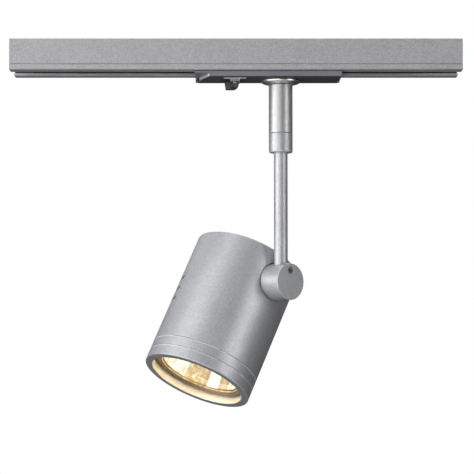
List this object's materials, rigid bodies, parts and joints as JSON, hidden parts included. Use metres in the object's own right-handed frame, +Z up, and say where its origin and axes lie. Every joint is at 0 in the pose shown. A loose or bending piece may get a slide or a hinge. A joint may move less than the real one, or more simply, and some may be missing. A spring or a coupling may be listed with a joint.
{
  "type": "track spotlight",
  "caption": "Cylindrical spotlight head that tilts on a knuckle below a thin swivelling stem, plugged into a length of lighting track by a lever-locked adapter.",
  "frame": {"origin": "centre of the track's top face, above the stem's axis", "axes": "+X along the track, away from the locking lever; +Z up, out of the track into the ceiling; +Y to the rear"},
  "size_m": [0.26, 0.0878, 0.2122],
  "materials": {
    "track_paint": "silver-grey satin powder coat on extruded aluminium",
    "silver_paint": "silver-grey metallic powder coat with a fine grain, on turned and drawn aluminium",
    "adapter_grey": "moulded grey plastic, fine matt texture",
    "adapter_dark": "dark grey moulded plastic, fine matt texture",
    "insert_black": "black rigid plastic",
    "lever_grey": "light grey moulded plastic, satin",
    "insulation_white": "off-white rigid plastic",
    "satin_nickel": "satin nickel plate, turned, with a fine circular grain",
    "bright_nickel": "polished nickel plate",
    "zinc_steel": "bright zinc-plated steel",
    "black_steel": "black-oxide steel",
    "brass": "bare brass",
    "copper": "bare drawn copper",
    "fibre": "dark brown pressed fibre",
    "ceramic": "off-white glazed ceramic",
    "bronze_ring": "dull bronze-coloured plated strip",
    "lamp_mirror": "faceted bright reflector coating on pressed glass",
    "lamp_glass": "clear cover glass",
    "quartz": "clear quartz with a glowing filament",
    "lead_sheath": "off-white silicone sheath",
    "wire_brown": "brown silicone insulation",
    "wire_blue": "blue silicone insulation",
    "wire_earth": "green insulation with a yellow stripe"
  },
  "bodies": {
    "track": {"track_profile": "track_paint", "insert_front": "insert_black", "insert_rear": "insert_black", "live_conductor": "copper", "neutral_conductor": "copper", "earth_strip": "copper"},
    "adapter": {"adapter_housing": "adapter_grey", "adapter_base_plate": "adapter_dark", "adapter_cover": "adapter_grey", "corner_spring": "zinc_steel", "retaining_clip": "zinc_steel", "earth_contact": "brass", "terminal_block": "insulation_white", "terminal_screw_live": "brass", "terminal_screw_neutral": "brass", "contact_wire_live": "wire_brown", "contact_wire_neutral": "wire_blue", "swivel_nut": "zinc_steel", "swivel_nipple": "zinc_steel", "rosette": "bright_nickel", "swivel_sleeve": "satin_nickel", "swivel_circlip": "zinc_steel", "adapter_lead": "lead_sheath"},
    "lever": {"lever_arm": "lever_grey", "lever_grip": "adapter_dark", "lever_shaft": "zinc_steel", "locking_cam": "zinc_steel", "contact_rotor": "insulation_white", "live_blade": "copper", "neutral_blade": "copper"},
    "stem": {"swivel_collar": "silver_paint", "swivel_stop_pin": "zinc_steel", "stem_tube": "silver_paint", "knuckle_barrel": "silver_paint", "grub_screw": "black_steel", "pivot_nipple": "zinc_steel", "pivot_locknut": "zinc_steel", "wave_washer": "zinc_steel", "tilt_stop_pin": "zinc_steel", "stem_lead": "lead_sheath"},
    "head": {"head_housing": "silver_paint", "friction_washer": "fibre", "lamp_holder": "ceramic", "holder_bracket": "zinc_steel", "bracket_screw_left": "zinc_steel", "bracket_screw_right": "zinc_steel", "earth_screw": "brass", "head_lead": "lead_sheath", "holder_wire_live": "wire_brown", "holder_wire_neutral": "wire_blue", "earth_wire": "wire_earth"},
    "ring": {"front_ring": "silver_paint", "lamp_retainer": "bronze_ring"},
    "lamp": {"lamp_reflector": "lamp_mirror", "lamp_glass": "lamp_glass", "lamp_capsule": "quartz", "lamp_base": "ceramic", "lamp_pin_left": "zinc_steel", "lamp_pin_right": "zinc_steel"}
  },
  "joints": [
    {"name": "adapter_slide", "type": "slide", "parent": "track", "child": "adapter", "axis": [1, 0, 0], "range_m": [-0.1, 0.063]},
    {"name": "lever_turn", "type": "hinge", "parent": "adapter", "child": "lever", "pos_m": [-0.0266, 0, -0.022], "axis": [0, 0, -1], "range_deg": [0, 90]},
    {"name": "stem_swivel", "type": "hinge", "parent": "adapter", "child": "stem", "pos_m": [0, 0, -0.05285], "axis": [0, 0, 1], "range_deg": [-165, 165]},
    {"name": "head_tilt", "type": "hinge", "parent": "stem", "child": "head", "pos_m": [0, 0, -0.1391], "axis": [0.6769, -0.7361, 0], "range_deg": [-60.3, 119.7]},
    {"name": "ring_pull", "type": "slide", "parent": "head", "child": "ring", "axis": [-0.3647, -0.3354, -0.8686], "range_m": [0, 0.014]},
    {"name": "lamp_twist", "type": "hinge", "parent": "head", "child": "lamp", "pos_m": [-0.02484, 0.02702, -0.1391], "axis": [-0.3647, -0.3354, -0.8686], "range_deg": [0, 25]}
  ]
}
